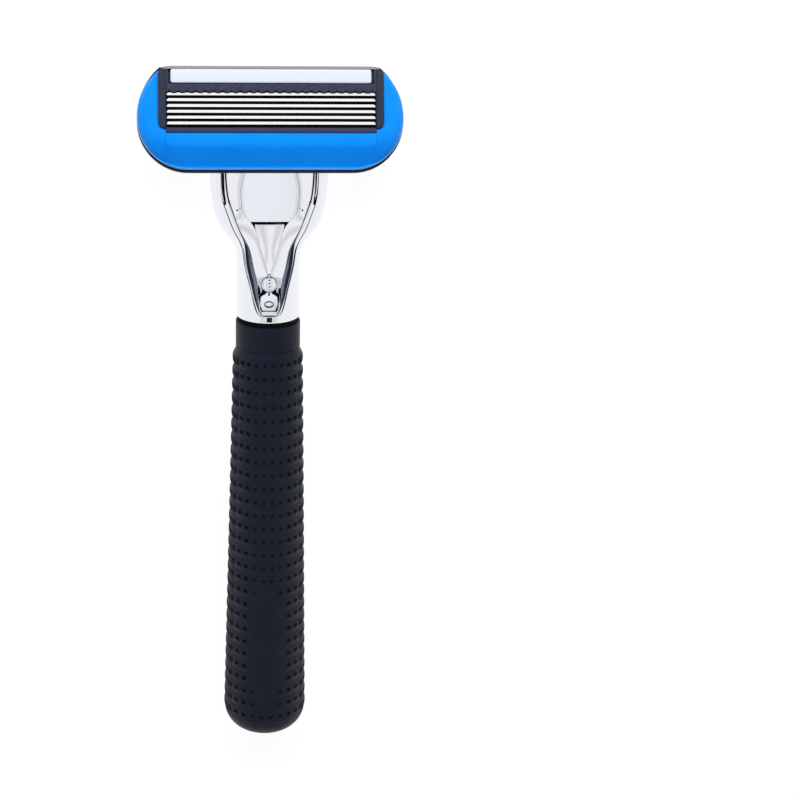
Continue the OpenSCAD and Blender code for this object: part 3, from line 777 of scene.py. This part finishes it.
def dock_cover():
    """Plate over the dock: slightly crowned, its lower edge rounded over the button."""
    edge = 0.12
    turn = np.linspace(0, np.pi / 2, 4)
    share = np.linspace(1, 0, 9)[1:]
    rows = []
    rows_y = np.concatenate([PLATE_START + edge * (1 - np.cos(turn)),
                             np.arange(18.05, PLATE_END - edge, 0.2),
                             PLATE_END - edge * (1 - np.sin(turn))])
    for y in rows_y:
        w = PLATE_HALF_W(y)
        near = min(y - PLATE_START, PLATE_END - y)
        fall = edge - math.sqrt(max(0, edge ** 2 - max(0, edge - near) ** 2))
        top = PLATE_HIGH - 0.06 - fall
        x = np.concatenate([[0, w], w - edge * (1 - np.cos(turn)), (w - edge) * share])
        z = np.concatenate([[PLATE_LOW, PLATE_LOW], top - edge * (1 - np.sin(turn)),
                            top + 0.06 * (1 - share ** 2)])
        rows.append(np.stack([x, np.full(len(x), y), z], -1))
    return finish_mesh(half_loft(rows), "dock_cover", HANDLE)


def slab(outline, low, high, radius):
    """Flat piece of an outline, with its upper edge rounded."""
    n = len(outline)
    points = [(x, y, low) for x, y in outline] + [(x, y, high) for x, y in outline]
    faces = [(k, (k + 1) % n, n + (k + 1) % n, n + k) for k in range(n)]
    faces += [tuple(range(n - 1, -1, -1)), tuple(range(n, 2 * n))]
    bm = bmesh_from(points, faces)
    rim = [e for e in bm.edges if all(v.co.z > high - WELD for v in e.verts)]
    bmesh.ops.bevel(bm, geom=rim, offset=radius, segments=ROUND_STEPS, profile=0.5,
                    affect="EDGES", clamp_overlap=True)
    return bm


def leaf_spring():
    """Leaf under the knob, shouldered at its top, with an eye in it."""
    right = [(0, 5.02), (0.42, 5.0), (0.55, 4.76), (1.0, 4.54), (1.4, 4.2), (1.4, 3.8),
             (1.46, 3.3), (1.46, 2.9), (1.44, 2.5), (1.34, 2.1), (1.1, 1.85), (0.6, 1.82),
             (0, 1.82)]
    edge = right + [(-x, y) for x, y in right[-2:0:-1]]
    turns = [math.atan2(x, y - EYE_Y) for x, y in edge]
    hole = [(0.84 * math.sin(a), EYE_Y + 0.62 * math.cos(a)) for a in turns]
    levels = [(hole, 1.3), (hole, 3.42), (edge, 3.36), (edge, 1.3), (hole, 1.3)]
    plate = loft([[(x, y, z) for x, y in loop] for loop, z in levels], caps=False)
    around = np.linspace(0, 2 * np.pi, 40, endpoint=False)
    eye = loft([[(r * 1.95 * math.cos(a), EYE_Y + r * math.sin(a), z) for a in around]
                for r, z in [(0.4, 1.3), (0.4, 3.2), (0.36, 3.32), (0.25, 3.4), (0.05, 3.43)]])
    # Dark rib in slot SECOND, painted shade.
    rib = painted(rounded_block((-0.14, 4.45, 3.2), (0.14, 4.98, 3.5), 0.05), SECOND)
    return finish_mesh(joined(plate, eye, rib), "leaf_spring", HANDLE)


def latch_window():
    """Latch behind its window at the seam: a dark tab with four small squares."""
    tab = rounded_block((-LATCH_HALF, LATCH_Y - LATCH_HALF, 0.2),
                        (LATCH_HALF, LATCH_Y + LATCH_HALF, NECK_R + 0.015), 0.04)
    middles = [(sx * SQUARE_AT, LATCH_Y + sy * SQUARE_AT) for sx in (-1, 1) for sy in (-1, 1)]
    squares = [rounded_block((x - SQUARE_HALF, y - SQUARE_HALF, 5.2),
                             (x + SQUARE_HALF, y + SQUARE_HALF, NECK_R + 0.04), 0.03)
               for x, y in middles]
    return finish_mesh(joined(tab, *squares), "latch_window", HANDLE)


def coil_spring():
    """Helical spring behind the plunger, with a closed turn at each end."""
    turn = np.linspace(0, COIL_TURNS * 2 * np.pi, 400)
    rise = np.clip((turn / (2 * np.pi) - 0.8) / 7.4, 0, 1)
    path = np.stack([COIL_R * np.cos(turn), COIL_START + COIL_WIRE_R + 5.7 * rise,
                     COIL_Z + COIL_R * np.sin(turn)], -1)
    return finish_mesh(tube_along(path, COIL_WIRE_R, 10), "coil_spring", HANDLE)


# ---------------------------------------------------------------- cartridge

GUARD_LOW = -3.8
GUARD_BOTTOM = smooth_curve([(0, -0.32), (0.1, -0.3), (0.27, -0.4), (0.37, -0.58), (0.46, -0.9),
                             (0.55, -1.29), (0.93, -3.02), (1, -3.35)])
FLANGE_AT = 0.94
UPPER_CENTRE, UPPER_R, UPPER_LIMIT = (10.85, 9.0), 11.1, 17.14
LOWER_CENTRE, LOWER_R = (13.55, 8.8), 8.4
INNER_X = smooth_curve([(0, 18.4), (0.34, 18.4), (0.42, 18.25), (0.5, 17.85), (0.57, 17.35),
                        (0.62, 17.22), (0.7, 17.2), (1, 13.55)])
INNER_UP = smooth_curve([(0, 9.0), (0.34, 7.75), (0.42, 7.3), (0.5, 6.98), (0.57, 6.82),
                         (0.62, 6.6), (0.7, 6.2), (1, 6.2)])
CREASE_AT = 0.7
RIM_COLUMNS = (33, 34)


def guard_rays():
    """Pairs of inner and outer points of the right half, from the cap edge round to the
    middle of the guard edge: (inner, outer, share of bottom, share of flange, crease)."""
    rays = []
    limit = math.asin((UPPER_LIMIT - UPPER_CENTRE[1]) / UPPER_R)
    for a in np.linspace(limit, 0, 26)[:-1]:
        share = math.sin(a) / math.sin(limit)
        outer = (UPPER_CENTRE[0] + UPPER_R * math.cos(a),
                 UPPER_CENTRE[1] + UPPER_R * math.sin(a) - 0.7 * share ** 3)
        up = 9 + (16.38 - 9) * share
        rays.append(((18.4, up), outer, 0.0, 0.0, 0.0))
    shares = np.concatenate([np.linspace(0, CREASE_AT - 0.02, 44),
                             [CREASE_AT - 0.01, CREASE_AT, CREASE_AT + 0.01],
                             np.linspace(CREASE_AT + 0.025, 1, 14)])
    for f in shares:
        a = f * np.pi / 2
        outer = (LOWER_CENTRE[0] + LOWER_R * math.cos(a), LOWER_CENTRE[1] - LOWER_R * math.sin(a))
        crease = 1.0 if abs(f - CREASE_AT) < 0.004 else 0.0
        rays.append(((float(INNER_X(f)), float(INNER_UP(f))), outer,
                     float(ease((f - 0.35) / 0.5)), float(ease((f + 0.02) / 0.25)), crease))
    for x in np.linspace(LOWER_CENTRE[0], 0, 15)[1:]:
        rays.append(((x, 6.2), (x, LOWER_CENTRE[1] - LOWER_R), 1.0, 1.0, 0.0))
    return rays


def guard_frame():
    """Soft rubber frame round the blades: a flat band and a slope at the guard edge,
    round shoulders at the sides, a thin flange whose lip round the rim is a lighter blue, a painted
    highlight."""
    t = np.concatenate([[0, 0.012], np.linspace(0.03, 0.9, 28), [0.925, FLANGE_AT, 0.955, 0.985, 1]])
    rows = []
    for inner, outer, bottom, flange, crease in guard_rays():
        inner, outer = np.array(inner), np.array(outer)
        round_side = -0.5 - 2.85 * (1 - np.sqrt(np.clip(1 - (t * 0.995) ** 2.3, 0, 1)))
        n = round_side * (1 - bottom) + GUARD_BOTTOM(t) * bottom
        shelf = -2.95 - 0.35 * np.clip((t - FLANGE_AT) / (1 - FLANGE_AT), 0, 1) ** 3
        on_shelf = ease((t - FLANGE_AT + 0.03) / 0.03)
        n = n * (1 - flange * on_shelf) + shelf * flange * on_shelf
        n -= 0.12 * crease * (1 - ease((t - 0.3) / 0.25))
        n[0] -= 0.08
        flat = inner[None, :] + (outer - inner)[None, :] * t[:, None]
        top = np.column_stack([flat, n])
        rows.append(np.vstack([[*inner, GUARD_LOW], top, [*outer, GUARD_LOW]]))
    rows = np.array(rows)
    count, columns = rows.shape[:2]
    faces = grid_faces(count, columns)
    # Columns RIM_COLUMNS take the lighter blue of the lip, a painted highlight.
    slots = [SECOND if i % columns in RIM_COLUMNS else PLAIN for i in range(len(faces))]
    faces.append(tuple(range(columns)))
    return finish_mesh(mirrored(bmesh_from(rows.reshape(-1, 3), faces, slots + [PLAIN])),
                       "guard_frame", HEAD, sharp=48)


def side_clip(side):
    """Clip over the blades' ends; its upper end follows the cartridge's outline."""
    edge = [(17.2, 6.92), (17.55, 6.94), (17.95, 7.08), (18.25, 7.35), (18.42, 7.75),
            (18.46, 8.3), (18.46, 15.9), (18.34, 16.22), (17.75, 16.6), (17.2, 16.84)]
    outline = [(side * x, y) for x, y in edge]
    ridge = tube_along([(side * 17.3, 16.85, 0.1), (side * 17.75, 16.62, 0.1),
                        (side * 18.15, 16.3, 0.05), (side * 18.25, 15.9, 0.0)], 0.1, 8)
    name = "side_clip_right_body" if side > 0 else "side_clip_left_body"
    return finish_mesh(joined(slab(outline, -0.5, 0.15, 0.14), ridge), name, HEAD)


def blade_tray():
    """Tray that holds the blades; its front wall is the guard bar."""
    ends = []
    for side in (-1, 1):
        edge = [(17.15, 6.6), (17.5, 6.95), (18.2, 7.4), (18.38, 7.9), (18.38, 16.0),
                (17.8, 16.5), (17.15, 16.85)]
        ends.append(slab([(side * x, y) for x, y in edge], -3.8, -0.45, 0.05))
    floor = rounded_block((-18.2, 6.6, -3.8), (18.2, 15.9, -3.2), 0.05)
    back = rounded_block((-17.2, 13.62, -3.8), (17.2, 16.95, -1.5), 0.05)
    bar = rounded_block((-17.18, 6.2, -3.75), (17.18, 7.0, 0.0), 0.16)
    return finish_mesh(joined(*ends, floor, back, bar), "blade_tray", HEAD)


def cap():
    """Cap with the strip's recess, a scalloped edge, and a lighter metal strip along its top edge, a
    painted highlight.
    """
    count, pitch, radius, depth = 23, 1.44, 0.75, 0.3
    low, high, up = -1.5, 0.15, 12.7
    across = np.linspace(-17.2, 17.2, count * 16 + 1)
    centre = np.round(across / pitch) * pitch
    tip = up + radius - np.sqrt(np.clip(radius ** 2 - (across - centre) ** 2, 0, None))
    tip = np.minimum(tip, up + depth)
    turn = np.linspace(0, np.pi / 2, 4)
    rows = []
    for x, edge in zip(across, tip):
        inside = 1.0 if abs(x) < 16.75 else 0.0
        floor = -0.7 * inside + (high - 0.02) * (1 - inside)
        line = [(16.95, low), (13.62, low), (13.6, -0.02), (edge, -0.02)]
        line += [(edge + 0.1 * (1 - math.cos(a)), high - 0.1 + 0.1 * math.sin(a) - 0.03)
                 for a in turn]
        line += [(13.6, high), (14.02, high), (14.1, high - 0.03), (14.13, floor),
                 (16.58, floor), (16.6, high - 0.03), (16.64, high), (16.95, high)]
        rows.append([(x, u, n) for u, n in line])
    body = loft(rows)
    # The strip along the top edge takes the lighter metal, a painted highlight.
    shine = slab([(-17.95, 16.42), (-17.3, 16.86), (-16.4, 17.02), (16.4, 17.02), (17.3, 16.86),
                  (17.95, 16.42), (17.1, 16.62), (-17.1, 16.62)], -0.4, 0.24, 0.08)
    return finish_mesh(joined(body, painted(shine, SECOND)), "cap_body", HEAD)


def strip():
    """Lubricating strip, crowned and rounded at its ends."""
    length = 16.4 - 0.35 * (1 - np.sin(np.linspace(0, np.pi / 2, 6)))
    stations = np.concatenate([-length[::-1], np.linspace(-15.8, 15.8, 9), length])
    turn = np.linspace(0, np.pi, 15)
    rows = []
    for x in stations:
        near = min(0.35, 16.4 - abs(x))
        pull = 0.35 - math.sqrt(max(0, 0.35 ** 2 - (0.35 - near) ** 2))
        half = 1.15 - pull
        top = [(15.4 + half * np.sign(math.cos(a)) * abs(math.cos(a)) ** 0.35,
                -0.1 + (0.38 - 0.5 * pull) * math.sin(a) ** 0.5) for a in turn]
        rows.append([(x, u, n) for u, n in [(15.4 - half, -0.7), (15.4 + half, -0.7), *top]])
    return finish_mesh(loft(rows), "strip_body", HEAD, sharp=50)


BLADE_PITCH, FIRST_BLADE, BLADE_ANGLE = 0.95, 7.5, math.radians(22)


def blade(number):
    """Blade with a ground edge, its ends cut on a slant."""
    edge_up = FIRST_BLADE + (number - 1) * BLADE_PITCH
    c, s = math.cos(BLADE_ANGLE), math.sin(BLADE_ANGLE)
    rows = []
    for x, back in [(-17.0, 0.25), (-16.8, 0.475), (16.8, 0.475), (17.0, 0.25)]:
        line = [(0, 0), (0.12, 0.045), (0.2, 0.05), (back, 0.05), (back, -0.05), (0.15, -0.05)]
        rows.append([(x, edge_up + a * c + b * s, -a * s + b * c) for a, b in line])
    return finish_mesh(loft(rows), f"blade_{number}_body", HEAD, sharp=12)


def build_all():
    """Every piece of the razor, on its body."""
    place(front_bezel(), "handle", "front_bezel", "chrome", CHROME, SHADOW_GAP, RAIL_HALF_SHADE)
    place(dock_cover(), "handle", "dock_plate", "chrome", PLATE_CHROME)
    place(release_button(), "button", "release_button", "chrome", CHROME, SHADOW_GAP)
    place(leaf_spring(), "handle", "button_spring", "spring_steel", CHROME, SHADOW_GAP)
    place(latch_window(), "handle", "latch_tab", "dark_plastic", DARK_PLASTIC)
    coil = place(coil_spring(), "handle", "plunger_spring", "spring_steel", SPRING_STEEL)
    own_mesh(coil)
    place(guard_frame(), "cartridge", "skin_guard", "blue_rubber", BLUE_RUBBER, GUARD_RIM_HIGHLIGHT)
    place(side_clip(-1), "cartridge", "side_clip_left", "clip_plastic", CLIP_PLASTIC)
    place(side_clip(1), "cartridge", "side_clip_right", "clip_plastic", CLIP_PLASTIC)
    place(blade_tray(), "cartridge", "cartridge_housing", "housing_plastic", TRAY_PLASTIC)
    place(cap(), "cartridge", "cap_frame", "housing_plastic", CAP_PLASTIC, CAP_EDGE_HIGHLIGHT)
    place(strip(), "cartridge", "lubricating_strip", "strip_polymer", STRIP_POLYMER)
    for number in range(1, 7):
        place(blade(number), "cartridge", f"blade_{number}", "blade_steel", BLADE_STEEL)
    for node, body, slot, width, look in SOFTENED:
        place(softened(node, width), body, node, slot, look)
    place(studded_sleeve(), "handle", "grip_sleeve", "grip_rubber", GRIP_RUBBER, DARK_STUD_SHADE,
          FAINT_STUD_SHADE)
    place(seal(), "handle", "seal_ring", "black_rubber", SEAL_RUBBER)
    place(collar_band(), "handle", "grip_collar", "grip_rubber", GRIP_RUBBER)
    place(neck_body(), "handle", "neck_shell", "chrome", CHROME, SHADOW_GAP)


# ---------------------------------------------------------------- studio

CAMERA_PLACE = (-18.62, 181.12, 419.49)
CAMERA_TURN = (-23.568, -5.032, 1.694)
CAMERA_LENS = 117
WORLD_SOFT, WORLD_GLOSS = 0.28, 1.0
WORLD_BAND, BAND_AT, BAND_WIDTH = 0.24, 0.32, 0.3
WORLD_TINT = (0.8, 0.95, 1.35)
KEY_WATTS = 3.5


def studio():
    """Camera, pale floor, soft light."""
    data = bpy.data.cameras.new("camera")
    data.lens = CAMERA_LENS
    data.clip_start, data.clip_end = 0.01, 10
    camera = bpy.data.objects.new("camera", data)
    camera.location = Vector(CAMERA_PLACE) * MM
    camera.rotation_euler = [math.radians(a) for a in CAMERA_TURN]
    scene = bpy.context.scene
    scene.collection.objects.link(camera)
    scene.camera = camera
    scene.view_settings.view_transform = "Standard"

    bm = bmesh.new()
    bmesh.ops.create_grid(bm, x_segments=8, y_segments=8, size=2)
    floor = finish_mesh(bm, "floor", Matrix.Translation((0, 0, -0.0002)))
    pale, tree, shader = new_material("floor_paper", (0.13, 0.13, 0.13), 0.9, specular=0.0)
    shader.inputs["Emission Color"].default_value = (1, 1, 1, 1)
    shader.inputs["Emission Strength"].default_value = 0.94
    add_bump(tree, shader, noise(tree, 300, 2), 0.02, 0.2)
    floor.data.materials.append(pale)

    world = bpy.data.worlds.new("studio")
    world.use_nodes = True
    tree = world.node_tree
    rays = tree.nodes.new("ShaderNodeLightPath")
    strength = tree.nodes.new("ShaderNodeMapRange")
    strength.inputs["To Min"].default_value = WORLD_SOFT
    tree.links.new(rays.outputs["Is Glossy Ray"], strength.inputs["Value"])
    direction = tree.nodes.new("ShaderNodeTexCoord")
    split = tree.nodes.new("ShaderNodeSeparateXYZ")
    tree.links.new(direction.outputs["Generated"], split.inputs["Vector"])
    across = math_node(tree, "ABSOLUTE", split.outputs["X"])
    away = math_node(tree, "ABSOLUTE", math_node(tree, "SUBTRACT", across, BAND_AT))
    band = tree.nodes.new("ShaderNodeMapRange")
    band.interpolation_type = "SMOOTHSTEP"
    band.inputs["From Max"].default_value = BAND_WIDTH
    band.inputs["To Min"].default_value = WORLD_GLOSS - WORLD_BAND
    band.inputs["To Max"].default_value = WORLD_GLOSS
    tree.links.new(away, band.inputs["Value"])
    tree.links.new(band.outputs["Result"], strength.inputs["To Max"])
    tree.links.new(strength.outputs["Result"], tree.nodes["Background"].inputs["Strength"])
    tint = tree.nodes.new("ShaderNodeMix")
    tint.data_type = "RGBA"
    tint.inputs["A"].default_value = (*WORLD_TINT, 1)
    tint.inputs["B"].default_value = (1, 1, 1, 1)
    tree.links.new(rays.outputs["Is Glossy Ray"], tint.inputs["Factor"])
    tree.links.new(tint.outputs["Result"], tree.nodes["Background"].inputs["Color"])
    scene.world = world

    light = bpy.data.lights.new("key", "AREA")
    light.shape = "RECTANGLE"
    light.size, light.size_y = 0.5, 0.25
    light.energy = KEY_WATTS
    key = bpy.data.objects.new("key", light)
    key.location = (0.0, 0.5, 0.4)
    key.rotation_euler = (Vector((0, 0, 0)) - key.location).to_track_quat("-Z", "Y").to_euler()
    key.visible_glossy = False
    scene.collection.objects.link(key)


studio()
build_all()
CAD_LOOKS = {"grip_core": CORE_PLASTIC}
# The blade supports get the near-black painted shade.
for number in range(1, 7):
    CAD_LOOKS[f"blade_support_{number}"] = SUPPORT_SHADE
for node, look in CAD_LOOKS.items():
    mesh = frame["nodes"][node].data
    mesh.materials.clear()
    mesh.materials.append(look)
